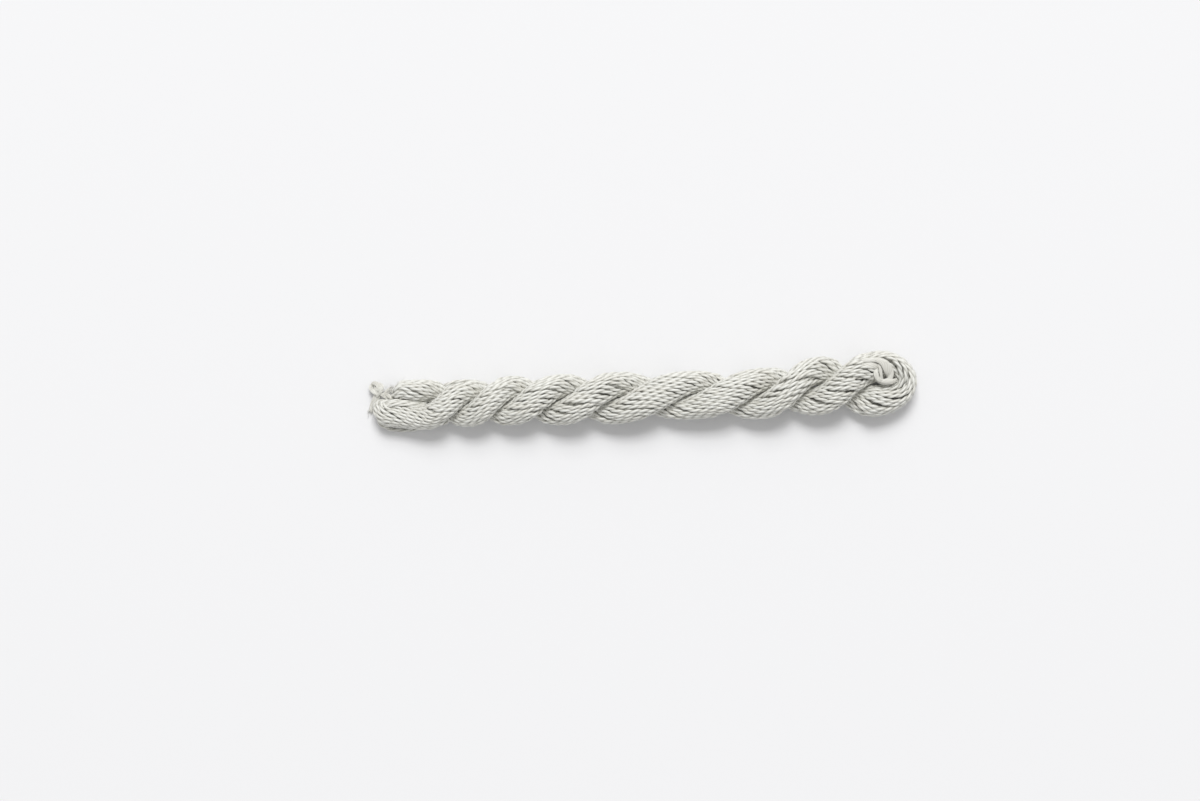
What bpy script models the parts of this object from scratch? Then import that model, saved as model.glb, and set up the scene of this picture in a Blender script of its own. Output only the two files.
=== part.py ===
"""A twisted skein of two-ply silk embroidery thread, doubled on itself and lying on a table.

One bundle of thread runs from its lower end loop along the first lobe, turns at the fold and comes
back as the second lobe, which the first one is laid around like the two strands of a rope. A short
tie goes through both end loops, and a smooth strand is knotted in the eye of the fold.
The skein lies along X, with +Z up and the table at z = 0. Lengths in the tables are millimetres.
"""
import math

import bmesh
import bpy
import numpy as np
from mathutils import Vector

MM = 0.001

# The lay: one row where the skein starts, one in the open end, then one at each groove where the two
# lobes lie side by side. turn: half turns of the lay; x, y, z: the rope's axis; spread: axis to lobe
# centre; first, second: half width of each lobe away from the axis; depth: half width across that;
# press: how far the section is pressed down.
LAY_COLUMNS = ("turn", "x", "y", "z", "spread", "first", "second", "depth", "press")
LAY = (
    (0.93, 0.0, -3.75, 4.9, 3.9, 4.5, 3.1, 5.1, 0.95),
    (0.96, 8.0, -3.85, 5.0, 4.2, 4.6, 3.1, 5.2, 0.95),
    (1.00, 15.2, -4.20, 5.9, 4.0, 4.6, 3.7, 5.3, 0.95),
    (2.00, 30.5, -4.00, 6.7, 3.1, 4.3, 4.3, 5.4, 0.95),
    (3.00, 43.8, -3.20, 6.9, 3.2, 4.5, 4.5, 5.7, 0.95),
    (4.00, 59.7, -2.83, 7.0, 3.4, 4.6, 4.6, 5.9, 0.94),
    (5.00, 77.8, -2.35, 7.0, 3.5, 4.7, 4.7, 5.9, 0.93),
    (6.00, 101.0, -1.46, 6.8, 3.2, 4.4, 4.4, 5.7, 0.95),
    (7.00, 123.2, -0.92, 6.9, 3.4, 4.6, 4.6, 5.9, 0.94),
    (8.00, 140.7, 1.40, 6.9, 4.2, 5.2, 5.2, 6.4, 0.80),
    (9.00, 159.1, 2.05, 5.9, 5.6, 5.1, 5.0, 7.0, 0.75),
)
# The fold, where the bundle goes round from the first lobe to the second: x, y, z of its centre, and
# its half width.
FOLD = (
    (164.6, -2.3, 5.4, 4.6),
    (168.7, 0.3, 5.3, 3.8),
    (169.8, 3.5, 5.3, 3.4),
    (168.1, 6.7, 5.4, 3.4),
    (164.4, 8.8, 5.7, 3.6),
)
FOLD_DEPTH = 7.0
FOLD_PRESS = 0.75
UPPER_LOOP_X = 6.0      # where the second lobe's end loop starts; the first lobe's starts at x = 0
NOSE = 5.0              # length of each end loop's round nose
NOSE_RINGS = 5
STATION = 2.4           # spacing of the bundle's sections along the lobes
FOLD_STATION = 1.71     # and round the fold
SIDES = 20              # points around a section

# Thread routes: x, y, z of the centreline.
TIE_ROUTE = (
    (-0.9, -6.6, 0.95), (-0.4, -5.3, 1.1), (0.5, -3.8, 1.7), (1.5, -2.4, 2.3), (2.2, -0.9, 2.4),
    (1.6, 0.9, 1.9), (0.2, 1.6, 1.3), (-0.9, 0.9, 1.0), (-0.2, -0.4, 1.4),
)
TIE_LEAD = ((1.6, 0.9, 1.9), (3.0, -0.6, 2.6), (4.6, -2.0, 3.6), (6.4, -2.9, 4.4), (8.4, -3.1, 4.8))
TIE_RADIUS = 0.75
TIE_KNOT = ((1.3, 0.9, 1.9), (2.0, 1.5, 1.5))       # centre and half sizes
EYE_ROUTE = (
    (155.2, 9.0, 11.0), (157.6, 9.3, 11.2), (160.2, 9.7, 11.1), (162.4, 9.1, 10.9), (164.0, 7.4, 10.6),
    (164.6, 5.3, 10.2), (163.9, 3.5, 9.9), (162.0, 2.8, 9.7), (160.4, 3.9, 9.5), (159.9, 5.9, 9.4),
    (160.4, 7.7, 9.1),
)
EYE_RADIUS = 0.95
GAP = 0.35              # room left between two pieces
TUBE_STEP = 1.4         # spacing of a tube's rings, in tube radii
TUBE_RINGS = 8          # and the fewest that a tube has
TUBE_ROUNDNESS = 2      # bevel resolution: 8 sides
BALL_DETAIL = 2
TABLE = ((-20, -40, -20), (200, 40, 0))     # corners of the block whose top flattens the underside

SILK = (0.66, 0.67, 0.63, 1.0)
SILK_WARM = (0.70, 0.69, 0.63, 1.0)


def clear_scene():
    """Removes whatever the file holds."""
    for item in list(bpy.data.objects):
        bpy.data.objects.remove(item, do_unlink=True)


def silk(name, colour):
    """A pale thread finish: half rough with a soft sheen."""
    material = bpy.data.materials.new(name)
    material.use_nodes = True
    shader = material.node_tree.nodes["Principled BSDF"]
    shader.inputs["Base Color"].default_value = colour
    shader.inputs["Roughness"].default_value = 0.5
    shader.inputs["Metallic"].default_value = 0.0
    shader.inputs["Sheen Weight"].default_value = 0.3
    return material


def smooth_through(keys, values, wanted):
    """Cubic curve through the values at the keys, whose slope at a key is the slope of the parabola
    through it and its neighbours."""
    keys = np.asarray(keys, float)
    values = np.asarray(values, float)
    slopes = np.gradient(values, keys, axis=0, edge_order=2 if len(keys) > 2 else 1)
    place = np.clip(np.searchsorted(keys, wanted) - 1, 0, len(keys) - 2)
    width = keys[place + 1] - keys[place]
    t = (wanted - keys[place]) / width
    if values.ndim > 1:
        t = t[:, None]
        width = width[:, None]
    return (
        (1 + 2 * t) * (1 - t) ** 2 * values[place]
        + t * (1 - t) ** 2 * width * slopes[place]
        + t ** 2 * (3 - 2 * t) * values[place + 1]
        + t ** 2 * (t - 1) * width * slopes[place + 1]
    )


def lay_at(x):
    """The columns of LAY at the places x, as a dictionary of arrays."""
    rows = np.array(LAY)
    keys = rows[:, LAY_COLUMNS.index("x")]
    return {name: smooth_through(keys, rows[:, i], x) for i, name in enumerate(LAY_COLUMNS)}


def lobe_sections(x, side):
    """Sections of one lobe at the places x. side is 1 for the first lobe, which is walked towards +X,
    and -1 for the second, which is walked back. Angles are measured from the walker's left."""
    lay = lay_at(x)
    turn = -math.pi * lay["turn"]
    centre = np.stack([
        x,
        lay["y"] + side * lay["spread"] * np.cos(turn),
        lay["z"] + side * lay["spread"] * lay["press"] * np.sin(turn),
    ], axis=1)
    heading = np.tile([float(side), 0.0], (len(x), 1))
    width = lay["first"] if side > 0 else lay["second"]
    lean = turn if side > 0 else -turn
    return centre, heading, width, lay["depth"], lay["press"], lean


def fold_sections():
    """Sections round the fold, at even steps along a smooth curve from one lobe's last section to the
    other's first."""
    last = np.array([LAY[-1][LAY_COLUMNS.index("x")]])
    before = lobe_sections(last, 1)
    after = lobe_sections(last, -1)
    rows = np.array(FOLD)
    centres = np.vstack([before[0], rows[:, :3], after[0]])
    widths = np.concatenate([before[2], rows[:, 3], after[2]])
    key = np.concatenate([[0.0], np.cumsum(np.linalg.norm(np.diff(centres, axis=0), axis=1))])
    places = np.linspace(0.0, key[-1], int(key[-1] / FOLD_STATION))[1:-1]
    centre = smooth_through(key, centres, places)
    heading = np.gradient(centre[:, :2], axis=0)
    heading /= np.linalg.norm(heading, axis=1)[:, None]
    width = smooth_through(key, widths, places)
    count = len(places)
    lean = np.full(count, -math.pi * LAY[-1][0])
    return centre, heading, width, np.full(count, FOLD_DEPTH), np.full(count, FOLD_PRESS), lean


def bundle_rings():
    """Rings of points along the whole bundle, from the lower end loop round to the upper one, and how
    much each ring is shrunk to close the round nose of each loop."""
    end = LAY[-1][LAY_COLUMNS.index("x")]
    swell = np.linspace(0.0, math.pi / 2, NOSE_RINGS + 1)[1:]
    nose = NOSE * (1 - np.cos(swell))
    count = int((end - NOSE) / STATION)
    run = np.linspace(0.0, 1.0, count)[1:]
    first_x = np.concatenate([nose, NOSE + run * (end - NOSE)])
    second_start = UPPER_LOOP_X + NOSE
    second_x = np.concatenate([UPPER_LOOP_X + nose, second_start + run * (end - second_start)])[::-1]
    pieces = [lobe_sections(first_x, 1), fold_sections(), lobe_sections(second_x, -1)]
    centre, heading, width, depth, press, lean = (np.concatenate(column) for column in zip(*pieces))
    shrink = np.ones(len(centre))
    shrink[:NOSE_RINGS] = np.sin(swell)
    shrink[-NOSE_RINGS:] = np.sin(swell)[::-1]
    around = np.linspace(0.0, 2 * math.pi, SIDES, endpoint=False)
    angle = around[None, :] - lean[:, None]
    out = (width * shrink)[:, None] * np.cos(angle)
    across = (depth * shrink)[:, None] * np.sin(angle)
    left = out * np.cos(lean)[:, None] - across * np.sin(lean)[:, None]
    up = (out * np.sin(lean)[:, None] + across * np.cos(lean)[:, None]) * press[:, None]
    ring = np.empty((len(centre), SIDES, 3))
    ring[:, :, 0] = centre[:, None, 0] - left * heading[:, None, 1]
    ring[:, :, 1] = centre[:, None, 1] + left * heading[:, None, 0]
    ring[:, :, 2] = centre[:, None, 2] + up
    return ring * MM, centre * MM


def bundle_mesh():
    """The bundle as a closed tube: quads between the rings and a fan to a point at each nose."""
    ring, centre = bundle_rings()
    rows = len(ring)
    tip_first = lobe_tip(0.0, 1)
    tip_last = lobe_tip(UPPER_LOOP_X, -1)
    points = np.vstack([ring.reshape(-1, 3), tip_first, tip_last])
    faces = []
    for row in range(rows - 1):
        for k in range(SIDES):
            low = row * SIDES + k
            low_next = row * SIDES + (k + 1) % SIDES
            faces.append((low, low_next, low_next + SIDES, low + SIDES))
    for k in range(SIDES):
        k_next = (k + 1) % SIDES
        faces.append((rows * SIDES, k_next, k))
        faces.append((rows * SIDES + 1, (rows - 1) * SIDES + k, (rows - 1) * SIDES + k_next))
    mesh = bpy.data.meshes.new("skein")
    mesh.from_pydata(points.tolist(), [], faces)
    mesh.update()
    return mesh


def lobe_tip(x, side):
    """The point where a lobe's nose closes."""
    return lobe_sections(np.array([x]), side)[0] * MM


def add_piece(name, mesh, material, frame):
    """Puts a mesh in the scene under the frame, with its material if it has one."""
    item = bpy.data.objects.new(name, mesh)
    bpy.context.collection.objects.link(item)
    item.parent = frame
    if material is not None:
        mesh.materials.append(material)
    return item


def thread_mesh(name, route, radius, extra=0.0):
    """A plain tube along a smooth curve through the route, with closed ends, as a mesh. extra is added
    to its radius and to both ends."""
    route = np.array(route)
    key = np.concatenate([[0.0], np.cumsum(np.linalg.norm(np.diff(route, axis=0), axis=1))])
    steps = max(TUBE_RINGS, int(key[-1] / (TUBE_STEP * radius)))
    points = smooth_through(key, route, np.linspace(0.0, key[-1], steps))
    for end, inner in ((0, 1), (-1, -2)):
        outward = points[end] - points[inner]
        points[end] += outward / np.linalg.norm(outward) * extra
    points *= MM
    curve = bpy.data.curves.new(name, "CURVE")
    curve.dimensions = "3D"
    curve.bevel_depth = (radius + extra) * MM
    curve.bevel_resolution = TUBE_ROUNDNESS
    curve.use_fill_caps = True
    spline = curve.splines.new("POLY")
    spline.points.add(steps - 1)
    spline.points.foreach_set("co", np.hstack([points, np.ones((steps, 1))]).ravel())
    holder = bpy.data.objects.new(name, curve)
    bpy.context.collection.objects.link(holder)
    mesh = bpy.data.meshes.new_from_object(holder.evaluated_get(bpy.context.evaluated_depsgraph_get()))
    bpy.data.objects.remove(holder)
    bpy.data.curves.remove(curve)
    return mesh


def lump_mesh(name, middle, half_sizes, extra=0.0):
    """A ball stretched to the three half sizes."""
    shape = bmesh.new()
    bmesh.ops.create_icosphere(shape, subdivisions=BALL_DETAIL, radius=1.0)
    for vertex in shape.verts:
        for axis in range(3):
            vertex.co[axis] = (vertex.co[axis] * (half_sizes[axis] + extra) + middle[axis]) * MM
    mesh = bpy.data.meshes.new(name)
    shape.to_mesh(mesh)
    shape.free()
    return mesh


def box_mesh(name, low, high):
    """A closed box between two corners."""
    shape = bmesh.new()
    bmesh.ops.create_cube(shape, size=1.0)
    for vertex in shape.verts:
        for axis in range(3):
            vertex.co[axis] = (low[axis] + (vertex.co[axis] + 0.5) * (high[axis] - low[axis])) * MM
    mesh = bpy.data.meshes.new(name)
    shape.to_mesh(mesh)
    shape.free()
    return mesh


def combine(item, tool, operation):
    """Adds an exact Boolean to the item, and marks the tool as one."""
    modifier = item.modifiers.new(operation.lower(), "BOOLEAN")
    modifier.operation = operation
    modifier.solver = "EXACT"
    modifier.use_self = True
    modifier.object = tool
    tool.hide_render = True
    tool.display_type = "WIRE"


def world_box(items):
    """Lowest and highest corner of the finished items."""
    depsgraph = bpy.context.evaluated_depsgraph_get()
    points = []
    for item in items:
        finished = item.evaluated_get(depsgraph)
        points += [finished.matrix_world @ Vector(vertex.co) for vertex in finished.data.vertices]
    points = np.array(points)
    return points.min(axis=0), points.max(axis=0)


def build():
    """Makes the three pieces, cuts room for the tie and the knotted strand, and centres them."""
    clear_scene()
    frame = bpy.data.objects.new("frame", None)
    bpy.context.collection.objects.link(frame)
    silk_thread = silk("silk_thread", SILK)
    silk_tie = silk("silk_tie", SILK_WARM)

    skein = add_piece("skein", bundle_mesh(), silk_thread, frame)
    table = add_piece("cut_table", box_mesh("cut_table", *TABLE), None, frame)
    combine(skein, table, "DIFFERENCE")
    for name, route, radius in (
        ("cut_tie", TIE_ROUTE, TIE_RADIUS),
        ("cut_lead", TIE_LEAD, TIE_RADIUS),
        ("cut_eye", EYE_ROUTE, EYE_RADIUS),
    ):
        tool = add_piece(name, thread_mesh(name, route, radius, GAP), None, frame)
        combine(skein, tool, "DIFFERENCE")
    room = add_piece("cut_knot", lump_mesh("cut_knot", *TIE_KNOT, extra=GAP), None, frame)
    combine(skein, room, "DIFFERENCE")

    end_tie = add_piece("end_tie", thread_mesh("end_tie", TIE_ROUTE, TIE_RADIUS), silk_tie, frame)
    lead = add_piece("add_lead", thread_mesh("add_lead", TIE_LEAD, TIE_RADIUS), None, frame)
    combine(end_tie, lead, "UNION")
    knot = add_piece("add_knot", lump_mesh("add_knot", *TIE_KNOT), None, frame)
    combine(end_tie, knot, "UNION")

    fold_knot = add_piece("fold_knot", thread_mesh("fold_knot", EYE_ROUTE, EYE_RADIUS), silk_tie, frame)

    pieces = [skein, end_tie, fold_knot]
    for item in pieces:
        item.data.shade_smooth()
    bpy.context.view_layer.update()
    low, high = world_box(pieces)
    frame.location = (-(low[0] + high[0]) / 2, -(low[1] + high[1]) / 2, -low[2])
    bpy.context.view_layer.update()


build()
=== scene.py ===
import math

import bpy
import numpy as np
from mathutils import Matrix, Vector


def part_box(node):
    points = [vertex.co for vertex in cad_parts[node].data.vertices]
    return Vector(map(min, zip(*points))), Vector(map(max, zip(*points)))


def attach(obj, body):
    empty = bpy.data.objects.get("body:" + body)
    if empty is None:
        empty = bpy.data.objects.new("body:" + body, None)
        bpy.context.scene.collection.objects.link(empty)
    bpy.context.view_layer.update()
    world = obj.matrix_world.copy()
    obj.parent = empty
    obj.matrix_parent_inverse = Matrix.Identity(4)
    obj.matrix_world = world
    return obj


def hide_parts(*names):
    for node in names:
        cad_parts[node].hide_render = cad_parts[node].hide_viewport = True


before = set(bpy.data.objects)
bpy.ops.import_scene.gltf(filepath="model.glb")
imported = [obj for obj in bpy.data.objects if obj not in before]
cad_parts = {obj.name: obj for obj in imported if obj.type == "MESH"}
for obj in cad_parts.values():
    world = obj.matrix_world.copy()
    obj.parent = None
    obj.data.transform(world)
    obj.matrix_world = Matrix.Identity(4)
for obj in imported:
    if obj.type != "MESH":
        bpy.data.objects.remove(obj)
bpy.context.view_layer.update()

mm = 0.001


def smoothThrough(keys, values, wanted):
    # cubic through the values at the keys; the slope at a key is that of the parabola
    # through the key and its neighbours
    keys = np.asarray(keys, float)
    values = np.asarray(values, float)
    slopes = np.gradient(values, keys, axis=0, edge_order=2)
    place = np.clip(np.searchsorted(keys, wanted) - 1, 0, len(keys) - 2)
    width = keys[place + 1] - keys[place]
    t = (wanted - keys[place]) / width
    if values.ndim > 1:
        t, width = t[:, None], width[:, None]
    return (
        (1 + 2 * t) * (1 - t) ** 2 * values[place] + t * (1 - t) ** 2 * width * slopes[place]
        + t ** 2 * (3 - 2 * t) * values[place + 1] + t ** 2 * (t - 1) * width * slopes[place + 1]
    )


def alongLine(points):
    # running length at each point of a line
    return np.concatenate([[0.0], np.cumsum(np.linalg.norm(np.diff(points, axis=0), axis=1))])


def unit(vectors):
    # each vector over its own length
    return vectors / np.linalg.norm(vectors, axis=-1, keepdims=True)


def wander(rng, count, at, waves, size):
    # smooth wandering: for each of count rows a sum of sines of the given wave lengths,
    # with random phases, scaled so that its usual size is the one asked for
    total = np.zeros((count, len(at)))
    for wave in waves:
        phase = rng.uniform(0, 2 * math.pi, (count, 1))
        stretch = rng.uniform(0.8, 1.25, (count, 1))
        total += np.sin(2 * math.pi * at[None, :] / (wave * stretch) + phase)
    return total * size * math.sqrt(2.0 / len(waves))


def tubesMesh(name, rings, around, along, shadeMask, tone):
    # rings: tube, station, point around, xyz. Quads join neighbours, a flat cap closes each end.
    # around and along give the UV map threadMap; the fifth argument is the mask of painted shade, kept as a
    # point attribute (1 in a groove between plies, where the colour is painted darker), tone the attribute
    # threadTone (one number per tube)
    tubes, stations, sides = rings.shape[:3]
    first = (np.arange(tubes)[:, None, None] * stations + np.arange(stations - 1)[None, :, None]) * sides
    k = np.arange(sides)[None, None, :]
    kNext = (k + 1) % sides
    quads = np.stack([first + k, first + kNext, first + kNext + sides, first + k + sides], axis=-1)
    quads = quads.reshape(-1, 4)
    startCap = np.arange(tubes)[:, None] * stations * sides + np.arange(sides)[::-1][None, :]
    endCap = (np.arange(tubes)[:, None] * stations + stations - 1) * sides + np.arange(sides)[None, :]
    loops = np.concatenate([quads.ravel(), startCap.ravel(), endCap.ravel()])
    starts = np.concatenate([
        np.arange(len(quads)) * 4,
        len(quads) * 4 + np.arange(2 * tubes) * sides,
    ])
    mesh = bpy.data.meshes.new(name)
    mesh.vertices.add(tubes * stations * sides)
    mesh.vertices.foreach_set("co", (rings * mm).astype(np.float32).ravel())
    mesh.loops.add(len(loops))
    mesh.loops.foreach_set("vertex_index", loops.astype(np.int32))
    mesh.polygons.add(len(starts))
    mesh.polygons.foreach_set("loop_start", starts.astype(np.int32))
    mesh.update(calc_edges=True)
    mesh.shade_smooth()
    uv = np.zeros((len(loops), 2), np.float32)
    aroundNext = np.concatenate([around[:, :, 1:], around[:, :, :1] + 1.0], axis=2)
    u = np.stack([around[:, :-1], aroundNext[:, :-1], aroundNext[:, 1:], around[:, 1:]], axis=-1)
    v = np.broadcast_to(along[:, :, None], around.shape)
    v = np.stack([v[:, :-1], v[:, :-1], v[:, 1:], v[:, 1:]], axis=-1)
    uv[:len(quads) * 4, 0] = u.ravel()
    uv[:len(quads) * 4, 1] = v.ravel()
    mesh.uv_layers.new(name="threadMap").data.foreach_set("uv", uv.ravel())
    # the mask of painted shade in the grooves, as a point attribute
    layer = mesh.attributes.new("grooveShade", "FLOAT", "POINT")
    edges = np.broadcast_to(shadeMask, (tubes, stations, sides))
    layer.data.foreach_set("value", edges.astype(np.float32).ravel())
    layer = mesh.attributes.new("threadTone", "FLOAT", "POINT")
    layer.data.foreach_set("value", np.repeat(tone, stations * sides).astype(np.float32))
    return mesh


def finishPiece(name, mesh, material, nodes):
    # a piece rides on the root body, stands for its nodes and takes its finish from the slot
    piece = bpy.data.objects.new(name, mesh)
    bpy.context.collection.objects.link(piece)
    mesh.materials.append(material)
    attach(piece, "root")
    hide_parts(*nodes)
    return piece


def twoPlies(perPly, plyRadius, plyOffset):
    # outline of two round plies side by side: angles around, and the distance to the outline,
    # offset x |cos| + root(radius^2 - offset^2 x sin^2); and the mask of painted shade, 1 in the groove, 0 on
    # the crown
    half = np.linspace(-math.pi / 2, math.pi / 2, perPly, endpoint=False)
    angle = np.concatenate([half, half + math.pi])
    reach = plyOffset * np.abs(np.cos(angle))
    reach = reach + np.sqrt(plyRadius ** 2 - (plyOffset * np.sin(angle)) ** 2)
    return angle, reach, np.abs(np.sin(angle)) ** 6


def layThreads(lines, thickness, turns, startAngle, outline, swell):
    # carries the two-ply outline along each line: the outline turns left-handed by the given
    # number of turns from end to end; side lies level and up completes the frame
    angle, reach, shadeMask = outline
    lines = np.asarray(lines)
    tangent = unit(np.gradient(lines, axis=1))
    side = unit(np.cross([0.0, 0.0, 1.0], tangent))
    up = np.cross(tangent, side)
    step = np.linalg.norm(np.diff(lines, axis=1), axis=2)
    along = np.concatenate([np.zeros((len(lines), 1)), np.cumsum(step, axis=1)], axis=1)
    spin = startAngle[:, None] - 2 * math.pi * turns[:, None] * along / along[:, -1:]
    around = angle[None, None, :] + spin[:, :, None]
    size = reach[None, None, :] * (thickness[:, None] * swell)[:, :, None]
    rings = lines[:, :, None, :] + (size * np.cos(around))[..., None] * side[:, :, None, :]
    rings = rings + (size * np.sin(around))[..., None] * up[:, :, None, :]
    return rings, around / (2 * math.pi), along, shadeMask


# the hank's lay, in millimetres from the tip of its lower end loop
skein = {
    # one row where the skein starts, one in its open end, then one at each groove where the
    # two lobes lie side by side: half turns of the lay, the rope's axis, lobe centre from the
    # axis, half widths of the two lobes and how far out they are flattened against each other,
    # half width across, and how far it is pressed down
    "columns": ("turn", "x", "y", "z", "spread", "first", "second", "flat", "depth", "press"),
    "lay": (
        (0.93, 0.0, -3.10, 4.9, 3.7, 4.4, 3.0, 9.0, 5.1, 0.95),
        (0.96, 8.0, -3.48, 5.0, 3.83, 4.6, 3.1, 8.0, 5.2, 0.95),
        (1.00, 15.2, -4.15, 5.9, 4.0, 4.4, 3.7, 5.0, 5.3, 0.95),
        (2.00, 30.5, -4.00, 6.7, 3.2, 4.4, 4.4, 3.6, 5.4, 0.95),
        (3.00, 43.8, -3.20, 6.9, 3.3, 4.6, 4.6, 3.7, 5.7, 0.95),
        (4.00, 59.7, -2.83, 7.0, 3.5, 4.7, 4.7, 3.9, 5.9, 0.94),
        (5.00, 77.8, -2.35, 7.0, 3.6, 4.8, 4.8, 4.0, 5.9, 0.93),
        (6.00, 101.0, -1.46, 6.8, 3.3, 4.5, 4.5, 3.7, 5.7, 0.95),
        (7.00, 123.2, -0.92, 6.9, 3.5, 4.7, 4.7, 3.9, 5.9, 0.94),
        (8.00, 140.7, 1.40, 6.9, 4.2, 5.2, 5.2, 4.6, 6.2, 0.84),
        (9.00, 159.1, 2.05, 5.9, 5.2, 5.3, 5.3, 9.0, 6.8, 0.78),
    ),
    # how fast the threads turn in the two lobes, radians a millimetre, by half turns of the
    # lay: set lobe by lobe, and not worked out from how a skein is laid
    "turning": (
        (0.93, 0.10, 0.08),
        (1.00, 0.15, 0.10), (1.50, 0.17, 0.10),
        (2.00, 0.12, 0.06), (2.50, 0.10, 0.13),
        (3.00, 0.05, 0.09), (3.50, 0.12, 0.10), (3.75, 0.10, 0.04),
        (4.00, 0.085, 0.05), (4.50, 0.10, 0.12), (4.75, 0.04, 0.10),
        (5.00, 0.04, 0.085), (5.50, 0.14, 0.10),
        (6.00, 0.085, 0.06), (6.50, 0.10, 0.155), (6.75, 0.04, 0.12),
        (7.00, 0.05, 0.09), (7.50, 0.115, 0.10), (7.75, 0.10, 0.04),
        (8.00, 0.085, 0.10), (8.50, 0.10, 0.18),
        (9.00, 0.07, 0.10),
    ),
    # the bundle's centre and half width round the fold
    "fold": (
        (164.6, -2.3, 5.4, 4.6),
        (168.7, 0.3, 5.3, 3.8),
        (169.8, 3.5, 5.3, 3.4),
        (168.1, 6.7, 5.4, 3.4),
        (164.4, 8.8, 5.7, 3.6),
    ),
    "foldDepth": 7.0,
    "foldPress": 0.75,
    "foldTwist": 0.085,         # radians the threads turn for each millimetre of the fold
    # the end loops: where the tip lies, how long the turn is, the line across which the threads
    # pair up (0 lies level), and how far the tip is drawn aside
    "lowerLoop": {"tip": 0.0, "length": 4.8, "axis": math.radians(62), "aside": (0.0, 1.3, 0.0)},
    "upperLoop": {"tip": 6.0, "length": 3.4, "axis": math.radians(8), "aside": (0.0, -0.9, 0.0)},
    "station": 1.4,             # spacing of the worked sections
    "rings": ((20, 0.865), (13, 0.60), (7, 0.33), (3, 0.12)),   # threads, and how far out
    "threadRadius": 0.69,
    "plyRadius": 0.462,
    "plyOffset": 0.24,
    "plyLay": 5.8,              # length in which the two plies make one turn
    "closeness": 1.22,          # threads press on each other inside this distance
    "pushRounds": 60,           # how often they are pushed apart, and by what part of the overlap
    "pushShare": 0.30,
    "pushKept": 0.97,           # what stays of the shift after each round
    "wanderAngle": 0.09,
    "wanderDepth": 0.04,
    "cornerSharpness": 3.2,     # how squarely the lobes' flat sides meet their round ones
    "seed": 11,
}


def layAt(x):
    # every column of the lay at the places x, smoothed between its rows
    rows = np.array(skein["lay"])
    keys = rows[:, skein["columns"].index("x")]
    return {name: smoothThrough(keys, rows[:, i], x) for i, name in enumerate(skein["columns"])}


def twistAt(x, way):
    # how far a lobe's threads have turned at the places x: the sum of its turning rate from the
    # skein's start, counted backwards on the lobe that is walked towards -X
    places = np.linspace(0.0, skein["lay"][-1][1], 800)
    turn, first, second = np.array(skein["turning"]).T
    rate = smoothThrough(turn, first if way > 0 else second, layAt(places)["turn"])
    total = np.cumsum(rate) * (places[1] - places[0])
    return way * np.interp(x, places, total)


def lobeStations(x, way):
    # sections of one lobe at the places x; way is 1 for the lobe walked towards +X and -1 for
    # the one walked back; lean is the direction out of the rope, from the walker's left
    lay = layAt(x)
    turn = -math.pi * lay["turn"]
    centre = np.stack([
        x,
        lay["y"] + way * lay["spread"] * np.cos(turn),
        lay["z"] + way * lay["spread"] * lay["press"] * np.sin(turn),
    ], axis=1)
    return {
        "centre": centre,
        "heading": np.tile([float(way), 0.0], (len(x), 1)),
        "width": lay["first"] if way > 0 else lay["second"],
        "depth": lay["depth"],
        "press": lay["press"],
        "lean": turn * way,
        "flat": lay["flat"],
        "twist": twistAt(x, way),
    }


def foldStations():
    # sections round the fold, along a smooth line from the first lobe's end to the second's
    end = np.array([skein["lay"][-1][1]])
    before, after = lobeStations(end, 1), lobeStations(end, -1)
    rows = np.array(skein["fold"])
    line = np.vstack([before["centre"], rows[:, :3], after["centre"]])
    widths = np.concatenate([before["width"], rows[:, 3], after["width"]])
    key = alongLine(line)
    places = np.linspace(0.0, key[-1], int(key[-1] / skein["station"]) + 1)[1:-1]
    centre = smoothThrough(key, line, places)
    count = len(places)
    return {
        "centre": centre,
        "heading": unit(np.gradient(centre[:, :2], axis=0)),
        "width": smoothThrough(key, widths, places),
        "depth": np.full(count, skein["foldDepth"]),
        "press": np.full(count, skein["foldPress"]),
        "lean": np.full(count, -math.pi * skein["lay"][-1][0]),
        "flat": np.full(count, 30.0),
        "twist": before["twist"][0] + skein["foldTwist"] * places,
    }, skein["foldTwist"] * key[-1]


def bundleStations():
    # all sections from the lower end loop, round the fold, to the upper end loop
    end = skein["lay"][-1][1]
    lowTurn = skein["lowerLoop"]["tip"] + skein["lowerLoop"]["length"]
    highTurn = skein["upperLoop"]["tip"] + skein["upperLoop"]["length"]
    count = int((end - lowTurn) / skein["station"])
    first = lobeStations(np.linspace(lowTurn, end, count), 1)
    fold, foldTwist = foldStations()
    second = lobeStations(np.linspace(end, highTurn, count), -1)
    offset = first["twist"][-1] + foldTwist - second["twist"][0]
    second["twist"] = second["twist"] + offset
    return {name: np.concatenate([first[name], fold[name], second[name]]) for name in first}


def lobeReach(stations, angle):
    # distance from a lobe's centre to its outline in the direction angle: an ellipse whose side
    # towards the other lobe is flattened, the two blended as a sum of high powers
    local = angle - stations["lean"][:, None]
    width, depth = stations["width"][:, None], stations["depth"][:, None]
    oval = 1.0 / np.sqrt((np.cos(local) / width) ** 2 + (np.sin(local) / depth) ** 2)
    flat = stations["flat"][:, None] / np.maximum(-np.cos(local), 1e-3)
    power = skein["cornerSharpness"]
    return (oval ** -power + flat ** -power) ** (-1.0 / power)


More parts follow.
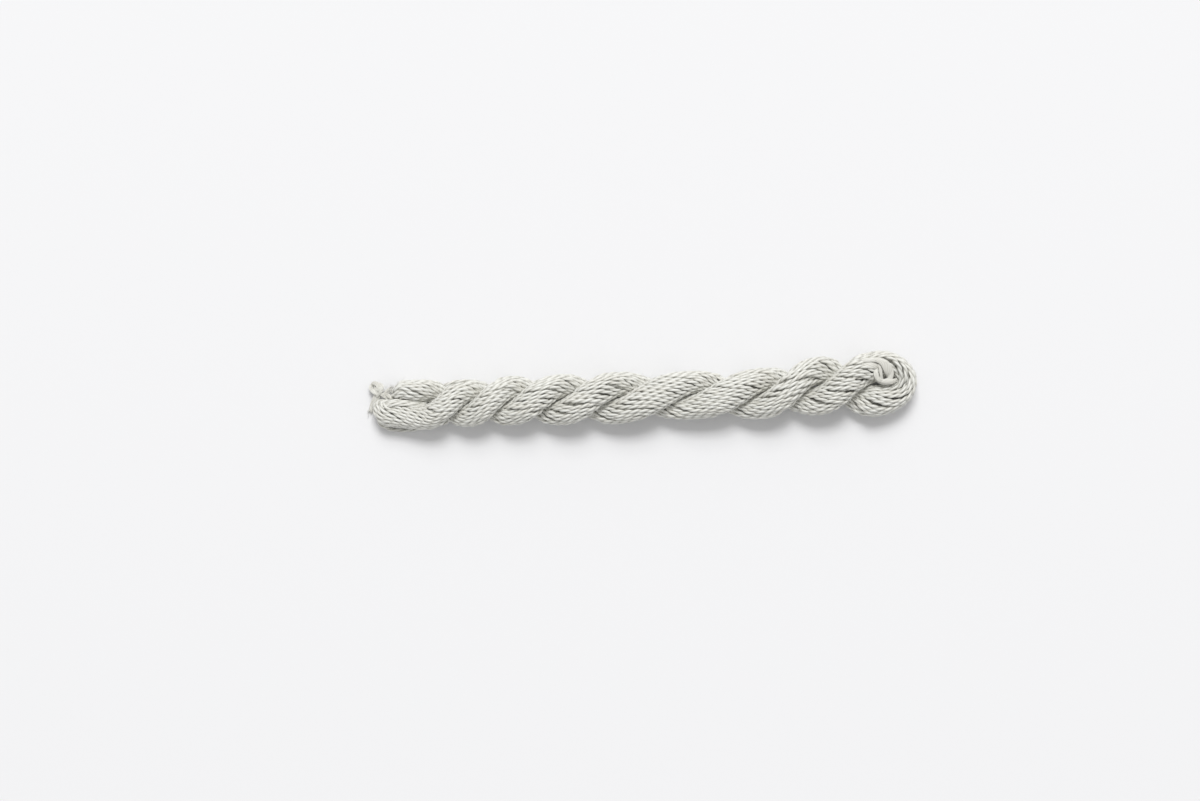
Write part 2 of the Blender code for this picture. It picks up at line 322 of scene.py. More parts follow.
def packThreads(stations, rng):
    # where each thread lies in each section, from the lobe's centre: rings of threads that turn
    # with the twist and wander, then pushed apart where they press on each other and held
    # inside the outline and above the table
    ringCount = [row[0] for row in skein["rings"]]
    count = sum(ringCount)
    out = np.repeat([row[1] for row in skein["rings"]], ringCount)
    start = np.concatenate([
        (np.arange(n) + 0.5) / n * 2 * math.pi + 0.37 * ring for ring, n in enumerate(ringCount)
    ])
    at = alongLine(stations["centre"])
    spacing = 1.0 + 0.35 * np.repeat(np.arange(len(ringCount)), ringCount)
    angle = start[:, None] + stations["twist"][None, :]
    angle = angle + wander(rng, count, at, (23, 41, 77), skein["wanderAngle"]) * spacing[:, None]
    depth = out[:, None] + wander(rng, count, at, (19, 37, 66), skein["wanderDepth"])
    angle, depth = angle.T, np.clip(depth.T, 0.03, 0.9)
    reach = lobeReach(stations, angle) * depth
    press = stations["press"][:, None]
    aim = np.stack([reach * np.cos(angle), reach * np.sin(angle) * press], axis=2)
    place = aim.copy()
    radius = skein["threadRadius"]
    floor = (radius * 1.08 - stations["centre"][:, 2])[:, None]
    for step in range(skein["pushRounds"]):
        gap = place[:, :, None, :] - place[:, None, :, :]
        length = np.sqrt((gap ** 2).sum(axis=3)) + 1e-6
        push = np.clip(skein["closeness"] - length, 0.0, None) * (length > 1e-5)
        place = place + skein["pushShare"] * (gap / length[..., None] * push[..., None]).sum(axis=2)
        shift = place - aim
        shift[1:-1] = 0.5 * shift[1:-1] + 0.25 * (shift[:-2] + shift[2:])
        place = aim + skein["pushKept"] * shift
        direction = np.arctan2(place[..., 1] / press, place[..., 0])
        limit = lobeReach(stations, direction)
        far = np.hypot(place[..., 0], place[..., 1] / press)
        room = np.clip((limit - radius * 0.95) / np.maximum(far, 1e-3), None, 1.0)
        place = place * room[..., None]
        place[..., 1] = np.maximum(place[..., 1], floor)
    return place


def pairAcross(place, axis):
    # partners at an end loop: threads that mirror each other, nearest first, where the mirror
    # image is 2 (p . d) d - p for the direction d of the loop's axis
    direction = np.array([math.cos(axis), math.sin(axis)])
    mirrored = 2 * (place @ direction)[:, None] * direction - place
    cost = ((mirrored[:, None] - place[None]) ** 2).sum(axis=2) + np.eye(len(place)) * 1e6
    partner = np.full(len(place), -1)
    while (partner < 0).any():
        a, b = np.unravel_index(np.argmin(cost), cost.shape)
        partner[a], partner[b] = b, a
        cost[[a, b], :] = 1e9
        cost[:, [a, b]] = 1e9
    return partner


def halfTurn(points, partner, loop):
    # quarter of an ellipse from the middle of each end turn to the thread's first section:
    # middle + half x cos s + outward x sin s + aside x sin^2 s
    middle = 0.5 * (points + points[partner])
    half = points - middle
    size = np.maximum(np.linalg.norm(half, axis=1), 0.5)
    stretch = (loop["length"] - skein["threadRadius"]) / size.max()
    sweep = np.linspace(math.pi / 2, 0.0, 9)[:-1]
    turn = half[:, None, :] * np.cos(sweep)[None, :, None]
    outward = np.array([-1.0, 0.0, 0.0]) * size[:, None, None] * stretch
    aside = np.array(loop["aside"]) * np.sin(sweep)[None, :, None] ** 2
    return middle[:, None, :] + turn + outward * np.sin(sweep)[None, :, None] + aside


def threadLines():
    # the line of every thread, from the middle of its turn in the lower loop to the upper one
    rng = np.random.default_rng(skein["seed"])
    stations = bundleStations()
    place = packThreads(stations, rng)
    heading = stations["heading"]
    left = np.stack([-heading[:, 1], heading[:, 0], np.zeros(len(heading))], axis=1)
    points = stations["centre"][:, None, :] + place[..., :1] * left[:, None, :]
    points = points + place[..., 1:] * np.array([0.0, 0.0, 1.0])
    points = points.transpose(1, 0, 2)
    lowPartner = pairAcross(place[0], skein["lowerLoop"]["axis"])
    highPartner = pairAcross(place[-1], skein["upperLoop"]["axis"])
    low = halfTurn(points[:, 0], lowPartner, skein["lowerLoop"])
    high = halfTurn(points[:, -1], highPartner, skein["upperLoop"])[:, ::-1]
    return np.concatenate([low, points, high], axis=1), lowPartner, highPartner, rng


def evenLine(line, count):
    # count points on the smooth line through the given ones, at equal running lengths
    key = alongLine(line)
    return smoothThrough(key, line, np.linspace(0.0, key[-1], count))


print("working out the threads")
lines, lowPartner, highPartner, rng = threadLines()

# where the lay's own zero lies in the frame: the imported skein's box against the lay's
skeinLow, skeinHigh = (np.array(corner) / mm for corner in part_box("skein"))
allStations = bundleStations()
edges = np.linspace(0, 2 * math.pi, 73)[None, :]
reach = lobeReach({**allStations, "flat": np.full(len(allStations["flat"]), 1e3)}, edges)
leftward = allStations["heading"][:, 0][:, None] * reach * np.cos(edges)
layLow = (allStations["centre"][:, 1][:, None] + leftward).min()
layHigh = (allStations["centre"][:, 1][:, None] + leftward).max()
origin = np.array([
    skeinLow[0] - skein["lowerLoop"]["tip"],
    (skeinLow[1] + skeinHigh[1] - layLow - layHigh) / 2,
    0.0,
])
print("lay origin", origin, "lines", lines.shape)

# the camera looks straight down, from far enough for little perspective
view = {
    "lens": 100.0,
    "width": 381.0,         # what the picture takes in, side to side, at the skein's middle height
    "middle": (72.4, -3.15, 7.0),
}


def makeCamera():
    # its height is the width taken in x lens / sensor width
    data = bpy.data.cameras.new("aboveCamera")
    data.lens = view["lens"]
    data.clip_end = 20.0
    camera = bpy.data.objects.new("aboveCamera", data)
    bpy.context.collection.objects.link(camera)
    distance = view["width"] * view["lens"] / data.sensor_width
    spot = np.array(view["middle"]) + origin + np.array([0.0, 0.0, distance])
    camera.location = (spot * mm).tolist()
    bpy.context.scene.camera = camera


def makeStage():
    # a pale floor, a softbox to the back and above, and an even pale surround
    floorMesh = bpy.data.meshes.new("floor")
    reach = 6.0
    floorMesh.from_pydata([(-reach, -reach, 0), (reach, -reach, 0), (reach, reach, 0), (-reach, reach, 0)],
                          [], [(0, 1, 2, 3)])
    floor = bpy.data.objects.new("floor", floorMesh)
    bpy.context.collection.objects.link(floor)
    paper = bpy.data.materials.new("paleFloor")
    paper.use_nodes = True
    shader = paper.node_tree.nodes["Principled BSDF"]
    shader.inputs["Base Color"].default_value = (0.86, 0.86, 0.87, 1)
    shader.inputs["Roughness"].default_value = 0.9
    shader.inputs["Specular IOR Level"].default_value = 0.2
    floorMesh.materials.append(paper)
    for name, rise, size, energy in light["boxes"]:
        lamp = bpy.data.lights.new(name, "AREA")
        lamp.shape = "RECTANGLE"
        lamp.size, lamp.size_y = size
        lamp.energy = energy
        lampObject = bpy.data.objects.new(name, lamp)
        bpy.context.collection.objects.link(lampObject)
        rise = math.radians(rise)
        lampObject.location = (
            light["aside"],
            light["distance"] * math.cos(rise),
            light["distance"] * math.sin(rise),
        )
        lampObject.rotation_euler = (-(math.pi / 2 - rise), 0.0, 0.0)
    world = bpy.data.worlds.new("surround")
    world.use_nodes = True
    background = world.node_tree.nodes["Background"]
    background.inputs["Color"].default_value = (1.0, 1.0, 1.0, 1.0)
    background.inputs["Strength"].default_value = light["surround"]
    bpy.context.scene.world = world
    bpy.context.scene.view_settings.view_transform = "Standard"


# name, height in degrees above the floor, size in metres and energy of each softbox
light = {
    "boxes": (
        ("softbox", 60.0, (2.4, 1.6), 192.0),
        ("lowBox", 47.5, (2.4, 1.4), 56.0),
    ),
    "distance": 6.0,
    "aside": 0.05,
    "surround": 0.503,
}

makeCamera()
makeStage()


# the silk's colours: its own colour on its crowns, a dark colour painted as shade in its grooves and used for
# darker fibre streaks, warm patches, and its sheen
silk = {
    "crown": (0.81, 0.81, 0.765, 1.0),
    # painted shade in the grooves between plies, also the colour of the darker fibre streaks
    "groove": (0.37, 0.36, 0.31, 1.0),
    "warm": (0.73, 0.715, 0.65, 1.0),
    "roughness": 0.36,
    "sheen": 0.35,
    "fibres": 46.0,         # fibre streaks round one thread
    "fibreLength": 0.35,
}


def silkGroup():
    # silkFibre: crown colour toned thread by thread and along the thread by broad noise, with darker fibre
    # streaks, then darkened by the ply edge mask as painted shade in the grooves; fibre height from noise
    # drawn out along the thread
    group = bpy.data.node_groups.new("silkFibre", "ShaderNodeTree")
    for name, kind, value in (
        ("Crown", "NodeSocketColor", silk["crown"]),
        # dark colour: painted shade in the grooves, and the colour of the darker fibre streaks
        ("Shade And Streak", "NodeSocketColor", silk["groove"]),
        ("Warm", "NodeSocketColor", silk["warm"]),
        ("Fibres", "NodeSocketFloat", silk["fibres"]),
        ("Fibre Length", "NodeSocketFloat", silk["fibreLength"]),
        # how strongly the shade is painted into the grooves
        ("Shade Strength", "NodeSocketFloat", 0.8),
    ):
        socket = group.interface.new_socket(name, in_out="INPUT", socket_type=kind)
        socket.default_value = value
    group.interface.new_socket("Colour", in_out="OUTPUT", socket_type="NodeSocketColor")
    group.interface.new_socket("Height", in_out="OUTPUT", socket_type="NodeSocketFloat")
    group.interface.new_socket("Roughness", in_out="OUTPUT", socket_type="NodeSocketFloat")
    nodes, links = group.nodes, group.links
    given = nodes.new("NodeGroupInput")
    result = nodes.new("NodeGroupOutput")

    def math2(operation, a, b):
        # one step of arithmetic on two numbers or sockets
        node = nodes.new("ShaderNodeMath")
        node.operation = operation
        for socket, value in zip(node.inputs, (a, b)):
            if isinstance(value, (int, float)):
                socket.default_value = value
            else:
                links.new(value, socket)
        return node.outputs[0]

    def mixColour(factor, a, b):
        # from colour a to colour b by the factor
        node = nodes.new("ShaderNodeMix")
        node.data_type = "RGBA"
        links.new(factor, node.inputs["Factor"])
        links.new(a, node.inputs[6])
        links.new(b, node.inputs[7])
        return node.outputs[2]

    uv = nodes.new("ShaderNodeUVMap")
    uv.uv_map = "threadMap"
    parts = nodes.new("ShaderNodeSeparateXYZ")
    links.new(uv.outputs[0], parts.inputs[0])
    tone = nodes.new("ShaderNodeAttribute")
    tone.attribute_name = "threadTone"
    # the mask of the painted shade: 1 in the grooves between plies and between filaments
    shadeMask = nodes.new("ShaderNodeAttribute")
    shadeMask.attribute_name = "grooveShade"
    # the seam of u is hidden by taking noise on a circle: cos and sin of the turn
    turn = math2("MULTIPLY", parts.outputs[0], 2 * math.pi)
    spot = nodes.new("ShaderNodeCombineXYZ")
    girth = math2("MULTIPLY", given.outputs["Fibres"], 1 / (2 * math.pi))
    links.new(math2("MULTIPLY", math2("COSINE", turn, 0), girth), spot.inputs[0])
    links.new(math2("MULTIPLY", math2("SINE", turn, 0), girth), spot.inputs[1])
    lengthwise = math2("MULTIPLY", parts.outputs[1], given.outputs["Fibre Length"])
    lengthwise = math2("ADD", lengthwise, math2("MULTIPLY", tone.outputs["Fac"], 71.0))
    links.new(lengthwise, spot.inputs[2])
    fibre = nodes.new("ShaderNodeTexNoise")
    fibre.inputs["Scale"].default_value = 1.0
    fibre.inputs["Detail"].default_value = 3.0
    fibre.inputs["Roughness"].default_value = 0.6
    links.new(spot.outputs[0], fibre.inputs["Vector"])
    broadSpot = nodes.new("ShaderNodeCombineXYZ")
    links.new(math2("MULTIPLY", parts.outputs[1], 0.11), broadSpot.inputs[0])
    links.new(math2("MULTIPLY", tone.outputs["Fac"], 53.0), broadSpot.inputs[1])
    broad = nodes.new("ShaderNodeTexNoise")
    broad.inputs["Scale"].default_value = 1.0
    broad.inputs["Detail"].default_value = 2.0
    links.new(broadSpot.outputs[0], broad.inputs["Vector"])
    warmth = nodes.new("ShaderNodeMapRange")
    warmth.inputs["From Min"].default_value = 0.42
    warmth.inputs["From Max"].default_value = 0.72
    links.new(broad.outputs["Fac"], warmth.inputs["Value"])
    body = mixColour(math2("MULTIPLY", warmth.outputs[0], 0.8), given.outputs["Crown"], given.outputs["Warm"])
    # fibre streaks, darker at random, mixed towards the same dark colour that is painted as groove shade
    streak = nodes.new("ShaderNodeMapRange")
    streak.inputs["From Min"].default_value = 0.50
    streak.inputs["From Max"].default_value = 0.85
    links.new(fibre.outputs["Fac"], streak.inputs["Value"])
    body = mixColour(math2("MULTIPLY", streak.outputs[0], 0.35), body, given.outputs["Shade And Streak"])
    # painted shade: the colour darkens towards the dark colour in the grooves, by the mask times its strength
    paintedShade = math2("MULTIPLY", shadeMask.outputs["Fac"], given.outputs["Shade Strength"])
    links.new(mixColour(paintedShade, body, given.outputs["Shade And Streak"]), result.inputs["Colour"])
    links.new(fibre.outputs["Fac"], result.inputs["Height"])
    rough = nodes.new("ShaderNodeMapRange")
    rough.inputs["To Min"].default_value = silk["roughness"] - 0.08
    rough.inputs["To Max"].default_value = silk["roughness"] + 0.14
    links.new(fibre.outputs["Fac"], rough.inputs["Value"])
    links.new(rough.outputs[0], result.inputs["Roughness"])
    return group


silkFibre = silkGroup()


def silkMaterial(name, values, bump):
    # one silk finish: the shared fibre group feeds colour, roughness and bump
    material = bpy.data.materials.new(name)
    material.use_nodes = True
    nodes, links = material.node_tree.nodes, material.node_tree.links
    shader = nodes["Principled BSDF"]
    fibres = nodes.new("ShaderNodeGroup")
    fibres.node_tree = silkFibre
    for socket, value in values.items():
        fibres.inputs[socket].default_value = value
    links.new(fibres.outputs["Colour"], shader.inputs["Base Color"])
    links.new(fibres.outputs["Roughness"], shader.inputs["Roughness"])
    relief = nodes.new("ShaderNodeBump")
    relief.inputs["Strength"].default_value = 0.7
    relief.inputs["Distance"].default_value = bump * mm
    links.new(fibres.outputs["Height"], relief.inputs["Height"])
    links.new(relief.outputs[0], shader.inputs["Normal"])
    shader.inputs["Specular IOR Level"].default_value = 0.8
    shader.inputs["Sheen Weight"].default_value = silk["sheen"]
    shader.inputs["Sheen Roughness"].default_value = 0.4
    return material


threadSilk = silkMaterial("threadSilk", {}, 0.05)
# the tie's silk: a paler dark colour for the painted groove shade and the streaks, and a weaker painted shade
tieSilk = silkMaterial("tieSilk", {
    "Crown": (0.79, 0.785, 0.735, 1.0),
    "Shade And Streak": (0.48, 0.46, 0.40, 1.0),
    "Shade Strength": 0.6,
}, 0.05)


def plyTurns(lengths, startAngle, endAngle):
    # turns of the plies from end to end, near one for each lay, such that the two plies arrive
    # at the end angle, give or take half a turn
    wanted = lengths / skein["plyLay"]
    rest = (startAngle - endAngle) / (2 * math.pi)
    return np.round((wanted - rest) * 2) / 2 + rest


def mirrorAngles(partner):
    # a random ply angle for each thread, the opposite one for its partner at an end loop
    angles = rng.uniform(0, math.pi, len(partner))
    lead = np.arange(len(partner)) < partner
    return np.where(lead, angles, -angles[partner])


def makeSkein():
    # the threads in four pieces by ring, the inner ones worked in coarser sections
    count = len(lines)
    startAngle = mirrorAngles(lowPartner)
    endAngle = mirrorAngles(highPartner)
    thickness = rng.uniform(0.95, 1.05, count)
    tone = rng.uniform(0, 1, count)
    firstRing, secondRing = skein["rings"][0][0], skein["rings"][1][0]
    groups = (
        ("skeinThreadsA", range(0, 10), 0.54, 6),
        ("skeinThreadsB", range(10, firstRing), 0.54, 6),
        ("skeinThreadsC", range(firstRing, firstRing + secondRing), 0.62, 5),
        ("skeinThreadsD", range(firstRing + secondRing, count), 1.0, 4),
    )
    for name, members, step, perPly in groups:
        members = np.array(members)
        lengths = np.array([alongLine(lines[i])[-1] for i in members])
        stations = int(lengths.max() / step)
        even = np.array([evenLine(lines[i], stations) for i in members]) + origin
        outline = twoPlies(perPly, skein["plyRadius"], skein["plyOffset"])
        swell = 1.0 + wander(rng, len(members), np.linspace(0, lengths.max(), stations), (7, 17), 0.03)
        turns = plyTurns(lengths, startAngle[members], endAngle[members])
        rings, around, along, shadeMask = layThreads(
            even, thickness[members], turns, startAngle[members], outline, swell)
        mesh = tubesMesh(name, rings, around, along, shadeMask, tone[members])
        finishPiece(name, mesh, threadSilk, ("skein",))
        print(name, len(mesh.polygons), "faces")


# threads that have come loose from the skein, as points on their way and how thick they are
loose = {
    "lay": 7.0,
    "threads": (
        # over the lower loop's upper edge
        (0.80, (
            (0.5, -7.2, 2.6), (1.0, -6.0, 4.6), (2.2, -4.7, 6.2), (3.8, -3.8, 7.4),
            (5.7, -3.35, 8.1), (7.9, -3.2, 8.3), (10.5, -3.4, 8.3), (13.0, -3.7, 8.0),
            (15.2, -3.8, 7.2), (17.4, -3.7, 5.8),
        )),
        (0.84, (
            (0.8, -7.8, 3.0), (1.4, -6.6, 5.2), (2.7, -5.3, 6.8), (4.4, -4.4, 7.9),
            (6.4, -3.9, 8.4), (8.6, -3.8, 8.6), (11.1, -4.0, 8.6), (13.3, -4.3, 8.3),
            (15.2, -4.4, 7.6), (17.2, -4.4, 6.2),
        )),
        (0.72, (
            (1.3, -7.6, 4.0), (2.0, -6.8, 5.8), (3.2, -5.9, 7.2), (5.0, -5.0, 8.3),
            (7.2, -4.5, 8.8), (9.5, -4.5, 8.9), (11.8, -4.7, 8.7), (13.8, -5.0, 8.2),
            (15.6, -5.1, 7.0),
        )),
        # below the lower loop
        (0.86, (
            (1.4, -9.4, 3.2), (2.9, -11.1, 1.8), (5.1, -12.2, 1.1), (8.0, -12.65, 0.8),
            (11.2, -12.7, 0.8), (14.4, -12.3, 0.9), (17.5, -11.7, 1.2), (20.7, -10.9, 1.9),
            (23.9, -9.9, 3.0), (26.4, -8.4, 4.4),
        )),
        # a thread's end at the second lobe's upper edge
        (0.80, (
            (22.9, 1.5, 9.9), (24.5, 2.2, 10.3), (26.4, 2.75, 10.2), (28.6, 3.05, 9.5),
            (30.8, 3.0, 8.5), (33.0, 2.5, 7.0),
        )),
    ),
}


def makeLoose():
    # each loose thread is a two-ply thread along its own points, laid more loosely
    count = 130
    given = [evenLine(np.array(points), count) for thickness, points in loose["threads"]]
    thickness = np.array([row[0] for row in loose["threads"]])
    even = np.array(given) + origin
    lengths = np.array([alongLine(line)[-1] for line in even])
    swell = 1.0 + wander(rng, len(even), np.linspace(0, 20, count), (5, 11), 0.05)
    swell = swell * np.clip(np.linspace(0, 30, count), 0.4, 1.0)
    outline = twoPlies(6, skein["plyRadius"], skein["plyOffset"])
    rings, around, along, shadeMask = layThreads(
        even, thickness, lengths / loose["lay"], rng.uniform(0, math.pi, len(even)), outline, swell)
    mesh = tubesMesh("looseThreads", rings, around, along, shadeMask, rng.uniform(0, 1, len(even)))
    finishPiece("looseThreads", mesh, threadSilk, ("skein",))


makeSkein()
makeLoose()


# the tie in the end loops: a cord from its frayed end through the knot into the gap, and the
# strands that lie over it, each point with the strand's width there
tie = {
    "route": (
        (-1.0, -6.7, 0.75), (-0.5, -5.4, 0.95), (0.4, -3.9, 1.5), (1.4, -2.5, 2.1), (2.2, -1.0, 2.5),
        (2.3, 0.6, 2.7), (1.5, 1.9, 2.4), (0.2, 2.0, 1.7), (-0.4, 0.9, 1.2), (0.3, -0.2, 1.2),
        (1.6, -0.1, 1.5), (2.4, 1.0, 1.6), (1.6, 2.0, 1.5), (0.7, 1.3, 2.0), (1.1, 0.2, 2.7),
        (2.4, -0.5, 2.9), (4.0, -1.6, 3.5), (5.8, -2.6, 4.4), (7.4, -3.0, 4.9), (8.6, -3.1, 4.3),
    ),
    "radius": 0.58,
    "lay": 3.8,
    "strandDepth": 0.62,
    "strands": (
        # two frayed strands that hang beside the end
        ((1.8, -1.7, 2.8, 1.2), (1.1, -3.2, 2.4, 1.6), (0.4, -4.6, 1.8, 1.7), (-0.2, -5.8, 1.2, 1.3),
         (-0.6, -6.7, 0.8, 0.4)),
        ((1.1, -1.3, 2.4, 1.1), (0.4, -2.7, 2.0, 1.4), (-0.2, -4.1, 1.4, 1.4), (-0.7, -5.3, 0.9, 1.1),
         (-1.2, -6.2, 0.6, 0.4)),
        # across the knot's foot
        ((1.3, -2.1, 3.0, 0.5), (2.0, -1.0, 3.7, 1.0), (2.7, -0.2, 3.9, 1.1), (3.3, 0.4, 3.3, 0.5)),
        # the knot's loops
        ((-0.5, 1.8, 1.7, 0.8), (-0.7, 0.9, 2.3, 1.4), (0.0, 0.0, 3.0, 1.5), (1.0, -0.8, 3.4, 1.4),
         (1.8, -1.6, 3.1, 0.8)),
        ((-0.5, 1.7, 1.8, 0.8), (0.4, 2.3, 2.7, 1.4), (1.5, 1.9, 3.5, 1.5), (2.0, 0.8, 3.9, 1.4),
         (1.7, -0.3, 3.5, 1.0)),
        ((0.6, 1.0, 2.8, 0.7), (1.4, 0.4, 3.6, 1.3), (2.5, 0.5, 4.0, 1.4), (2.9, 1.4, 3.7, 1.3),
         (2.2, 2.0, 3.2, 1.1), (1.2, 1.6, 2.6, 0.6)),
        # from the knot to the gap between the end loops
        ((2.4, -1.0, 3.4, 0.6), (3.2, -1.5, 3.9, 1.1), (4.0, -2.0, 4.2, 1.0), (4.8, -2.6, 4.4, 0.7)),
        ((3.9, -1.1, 3.9, 0.6), (4.9, -1.5, 5.0, 1.2), (5.9, -2.1, 5.6, 1.3), (6.7, -2.8, 5.5, 1.1),
         (7.6, -3.1, 4.7, 0.6)),
        # brushed-out strands that stand beside the upper loop
        ((3.6, -1.0, 3.0, 0.8), (4.3, -0.2, 2.8, 0.9), (5.0, 0.5, 2.4, 0.7), (5.7, 1.1, 1.9, 0.3)),
        ((3.9, -1.2, 2.6, 0.7), (4.8, -0.6, 2.4, 0.8), (5.5, -0.1, 2.0, 0.6), (6.0, 0.5, 1.6, 0.3)),
    ),
}

# the strand knotted in the eye of the fold, and the flat strands that lie over it
eyeStrand = {
    "route": (
        (155.2, 9.0, 11.0), (157.6, 9.3, 11.2), (160.2, 9.7, 11.1), (162.4, 9.1, 10.9),
         (164.0, 7.4, 10.6),
        (164.6, 5.3, 10.2), (163.9, 3.5, 9.9), (162.0, 2.8, 9.7), (160.4, 3.9, 9.5), (159.9, 5.9, 9.4),
        (160.4, 7.7, 9.1), (161.6, 8.4, 8.2), (162.6, 7.6, 7.0), (162.6, 6.0, 6.2), (162.2, 4.4, 4.9),
        (161.4, 3.4, 3.2),
    ),
    "width": 1.7,
    "thickness": 0.9,
    "filaments": 9,
    "strandDepth": 0.6,
    "strands": (
        # from the free end across and down into the eye, widening
        ((154.8, 9.2, 11.6, 0.5), (156.6, 9.5, 12.1, 1.2), (158.6, 9.7, 12.2, 1.3),
         (160.8, 9.3, 12.1, 1.6),
         (162.4, 8.2, 11.9, 2.4), (163.2, 6.7, 11.4, 2.5), (163.5, 5.5, 10.7, 2.0),
          (163.3, 4.5, 9.3, 1.2)),
        # a fuzzy patch below the free end
        ((155.3, 8.3, 11.7, 0.6), (156.8, 8.0, 11.9, 1.8), (158.6, 7.9, 11.8, 2.0),
         (160.0, 7.6, 11.2, 1.6), (160.6, 7.0, 10.0, 0.8)),
        # the two strands down the middle
        ((160.3, 8.9, 11.0, 0.6), (160.8, 7.6, 11.4, 0.9), (161.1, 6.3, 11.4, 1.0),
         (161.3, 5.0, 11.2, 0.9), (161.6, 3.7, 10.6, 0.8), (162.2, 3.0, 9.8, 0.5)),
        ((160.3, 7.9, 10.2, 0.7), (159.8, 6.7, 11.0, 1.3), (159.7, 5.3, 11.2, 1.6),
         (160.2, 4.0, 11.0, 1.5), (161.3, 3.2, 10.7, 1.3),
         (163.0, 3.0, 10.5, 1.4), (164.8, 3.1, 10.2, 1.3), (166.4, 3.7, 9.2, 0.6)),
        # along the eye's lower edge
        ((159.7, 3.5, 9.2, 0.6), (160.9, 2.7, 9.9, 0.9), (162.8, 2.4, 10.1, 1.0),
         (164.7, 2.5, 9.9, 0.9), (166.4, 3.1, 9.0, 0.5)),
    ),
}


def flatStrands(strands, depth, count=56, sides=48, ridges=8, lay=16.0):
    # flat strands of untwisted filaments: an oval of half width w/2 and half depth d/2 with the
    # filaments as ridges, 0.84 + 0.16 |sin(n (a - 2 pi s / lay) / 2)|, slowly turning along it
    angle = np.linspace(0, 2 * math.pi, sides, endpoint=False)
    rings, around, along, edges = [], [], [], []
    for strand in strands:
        rows = evenLine(np.array(strand), count)
        line, width = rows[:, :3], rows[:, 3]
        length = alongLine(line)
        tangent = unit(np.gradient(line, axis=0))
        side = unit(np.cross([0.0, 0.0, 1.0], tangent))
        up = np.cross(tangent, side)
        spin = 2 * math.pi * length / lay
        wave = np.abs(np.sin(0.5 * ridges * (angle[None, :] - spin[:, None])))
        wide = 0.5 * width[:, None] * (0.84 + 0.16 * wave) * np.cos(angle)
        thick = np.minimum(depth, width)[:, None] * 0.5 * (0.55 + 0.45 * wave) * np.sin(angle)
        ring = line[:, None] + wide[..., None] * side[:, None] + thick[..., None] * up[:, None]
        rings.append(ring + origin)
        around.append(np.broadcast_to(angle / (2 * math.pi), wide.shape))
        along.append(length)
        # mask of painted shade between the filament ridges: 1 in the hollows, 0 on the ridge tops
        edges.append((1.0 - wave) ** 1.5)
    return np.array(rings), np.array(around), np.array(along), np.array(edges)


def makeStrands(name, dictionary, node):
    # the flat strands over a knot, as one piece that stands for the knot's node
    rings, around, along, edges = flatStrands(dictionary["strands"], dictionary["strandDepth"])
    tone = np.linspace(0.1, 0.9, len(rings))
    # the hollows between filaments carry painted shade through the mask
    mesh = tubesMesh(name, rings, around, along, edges, tone)
    finishPiece(name, mesh, tieSilk, (node,))
    print(name, len(mesh.polygons), "faces")


# stray fibres: how thick, how many on the skein, and how many at each frayed end
fuzz = {
    "radius": 0.035,
    "skein": 700,
    "brush": 34,
}


def makeFuzz(name, roots, directions, lengths, material, node):
    # fine stray fibres: each leaves its root along its direction and curls, root + d l t +
    # c l t^2, thinning to its tip
    count = len(roots)
    t = np.linspace(0.0, 1.0, 7)
    curl = rng.normal(0.0, 0.45, (count, 1, 3))
    bend = directions[:, None] * t[:, None] + curl * t[:, None] ** 2
    line = roots[:, None] + bend * lengths[:, None, None]
    line[..., 2] = np.maximum(line[..., 2], 0.12)
    tangent = unit(np.gradient(line, axis=1))
    side = unit(np.cross(tangent, [0.31, 0.22, 0.92]))
    up = np.cross(tangent, side)
    angle = np.array([0.0, 2 * math.pi / 3, 4 * math.pi / 3])
    radius = fuzz["radius"] * (1.0 - 0.7 * t)[None, :, None, None]
    rings = line[:, :, None] + radius * np.cos(angle)[:, None] * side[:, :, None]
    rings = rings + radius * np.sin(angle)[:, None] * up[:, :, None] + origin
    around = np.broadcast_to(angle / (2 * math.pi), rings.shape[:3])
    along = np.broadcast_to(t, (count, 7)) * lengths[:, None]
    mesh = tubesMesh(name, rings, around, along, np.zeros(3), rng.uniform(0, 1, count))
    finishPiece(name, mesh, material, (node,))
    print(name, len(mesh.polygons), "faces")


def skeinFuzz():
    # roots on the outer threads, away from the bundle's middle; directions mostly along the thread
    count = fuzz["skein"]
    thread = rng.integers(0, skein["rings"][0][0], count)
    place = rng.integers(4, lines.shape[1] - 4, count)
    roots = lines[thread, place]
    outward = unit(roots - lines[:, place].mean(axis=0))
    tangent = unit(lines[thread, place + 1] - lines[thread, place - 1])
    way = rng.choice([-1.0, 1.0], (count, 1))
    lean = rng.uniform(0.1, 0.6, (count, 1))
    directions = unit(tangent * way + outward * lean + rng.normal(0.0, 0.15, (count, 3)))
    makeFuzz("skeinFuzz", roots + outward * 0.45, directions, rng.uniform(0.8, 3.4, count),
             threadSilk, "skein")


def strandFuzz(name, dictionary, node, perStrand, frayed):
    # fibres along each flat strand, and a brush of them at the ends that are frayed
    roots, directions, lengths = [], [], []
    for strand in dictionary["strands"]:
        rows = evenLine(np.array(strand), 60)
        pick = rng.integers(4, 56, perStrand)
        tangent = unit(rows[pick + 2, :3] - rows[pick - 2, :3])
        away = rng.normal(0.0, 1.0, (perStrand, 3)) + np.array([0.0, 0.0, 0.6])
        roots.append(rows[pick, :3] + 0.2 * unit(away))
        directions.append(unit(tangent * rng.choice([-1.0, 1.0], (perStrand, 1)) + 0.4 * away))
        lengths.append(rng.uniform(0.5, 2.0, perStrand))
    for strand, end in frayed:
        points = np.array(dictionary["strands"][strand])[:, :3]
        tip, inner = (points[0], points[1]) if end == 0 else (points[-1], points[-2])
        way = unit(tip - inner)
        back = way * rng.uniform(0.0, 0.8, (fuzz["brush"], 1))
        roots.append(tip - back + rng.normal(0.0, 0.12, (fuzz["brush"], 3)))
        directions.append(unit(way + rng.normal(0.0, 0.35, (fuzz["brush"], 3))))
        lengths.append(rng.uniform(0.4, 1.5, fuzz["brush"]))
    makeFuzz(name, np.concatenate(roots), np.concatenate(directions), np.concatenate(lengths),
             tieSilk, node)


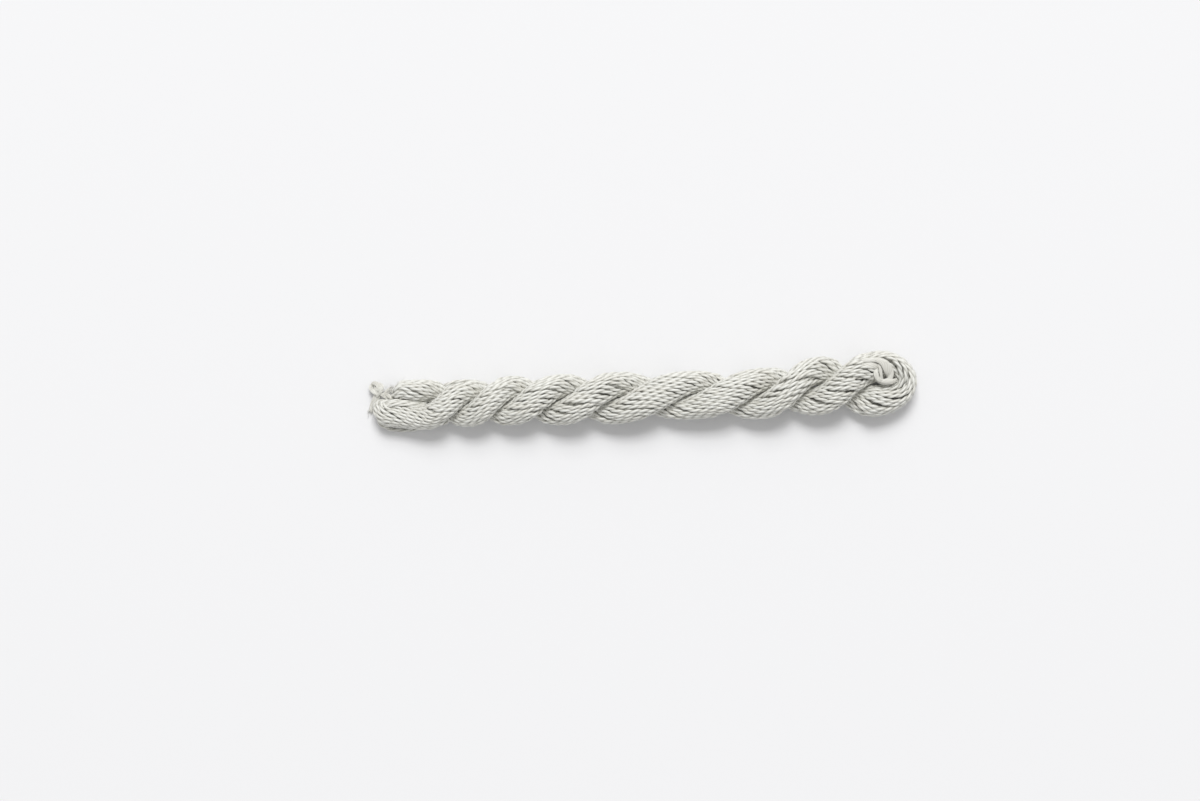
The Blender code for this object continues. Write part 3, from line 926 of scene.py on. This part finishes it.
def makeTie():
    # a two-ply cord along the tie's route, its turns the route's length over the lay
    route = np.array(tie["route"])
    length = alongLine(evenLine(route, 200))[-1]
    line = evenLine(route, int(length / 0.30))
    outline = twoPlies(6, 0.58 * tie["radius"], 0.42 * tie["radius"])
    swell = np.ones((1, len(line)))
    rings, around, along, shadeMask = layThreads(
        (line + origin)[None], np.ones(1), np.array([length / tie["lay"]]), np.zeros(1), outline, swell)
    mesh = tubesMesh("endTie", rings, around, along, shadeMask, np.array([0.3]))
    piece = finishPiece("endTie", mesh, tieSilk, ("end_tie",))
    print("tie length", length)


def makeEyeStrand():
    # a flat cord of filaments along its route: an oval with ridges 0.86 + 0.14 |sin(n a / 2)|
    route = np.array(eyeStrand["route"])
    length = alongLine(evenLine(route, 200))[-1]
    line = evenLine(route, int(length / 0.25))
    sides = eyeStrand["filaments"] * 4
    angle = np.linspace(0, 2 * math.pi, sides, endpoint=False)
    ridge = 0.86 + 0.14 * np.abs(np.sin(angle * eyeStrand["filaments"] / 2))
    # the third entry is the mask of painted shade, 1 in the hollows between filament ridges
    outline = (angle, ridge, 1.0 - (ridge - 0.86) / 0.14)
    tangent = unit(np.gradient(line, axis=0))
    side = unit(np.cross([0.0, 0.0, 1.0], tangent))
    up = np.cross(tangent, side)
    squash = np.clip(np.linspace(0, 14, len(line)), 0.35, 1.0)[:, None]
    wide = 0.5 * eyeStrand["width"] * squash * ridge[None, :] * np.cos(angle)[None, :]
    high = 0.5 * eyeStrand["thickness"] * squash * ridge[None, :] * np.sin(angle)[None, :]
    rings = line[:, None, :] + wide[..., None] * side[:, None, :] + high[..., None] * up[:, None, :] + origin
    around = np.broadcast_to(angle / (2 * math.pi), wide.shape)[None]
    mesh = tubesMesh("foldKnot", rings[None], around, alongLine(line)[None], outline[2], np.array([0.7]))
    piece = finishPiece("foldKnot", mesh, tieSilk, ("fold_knot",))
    print("eye strand length", length)


makeTie()
makeEyeStrand()
makeStrands("tieStrands", tie, "end_tie")
makeStrands("knotStrands", eyeStrand, "fold_knot")
skeinFuzz()
strandFuzz("tieFuzz", tie, "end_tie", 22, ((0, 1), (1, 1), (3, 0), (8, 1), (9, 1)))
strandFuzz("knotFuzz", eyeStrand, "fold_knot", 14, ((0, 0), (1, 0)))
